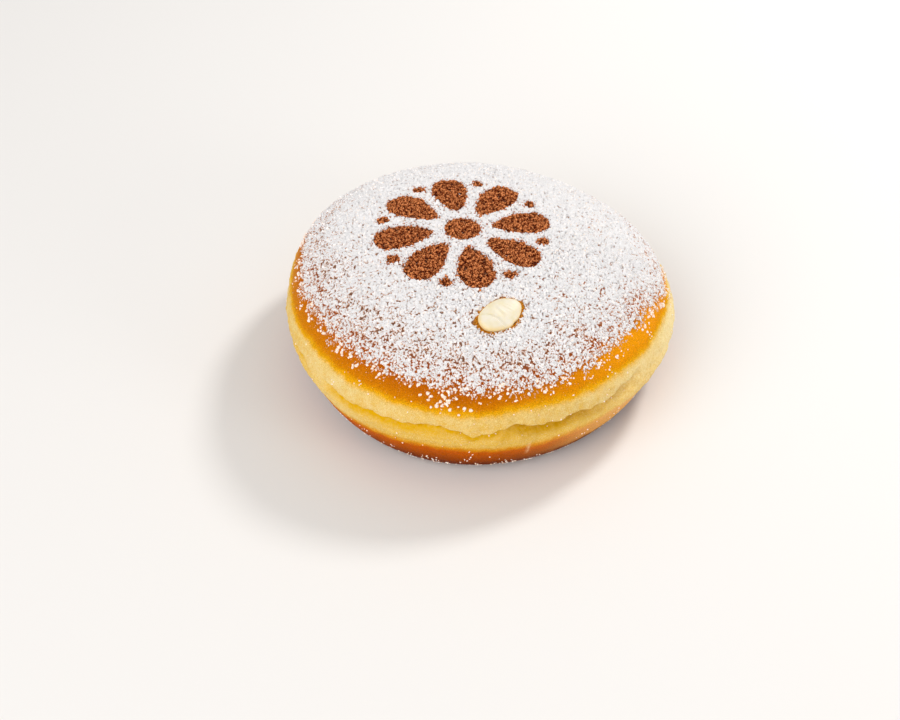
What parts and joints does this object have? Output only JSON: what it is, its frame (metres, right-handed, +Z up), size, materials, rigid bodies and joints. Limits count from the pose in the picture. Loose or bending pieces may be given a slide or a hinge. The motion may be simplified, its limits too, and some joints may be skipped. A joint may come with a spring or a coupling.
{
  "type": "filled doughnut",
  "caption": "Round filled doughnut with a browned domed top, a pale folded band round its waist, a flat foot and a dab of cream in a hole in the top.",
  "frame": {"origin": "under the middle of the doughnut's outline, on the surface it rests on", "axes": "+Z up, the cream-filled hole towards -Y"},
  "size_m": [0.1004, 0.099, 0.0391],
  "materials": {
    "dough": "soft fried dough, golden brown, matte",
    "cream": "smooth pastry cream, slightly glossy"
  },
  "bodies": {
    "root": {"dough": "dough", "cream": "cream"}
  },
  "joints": []
}
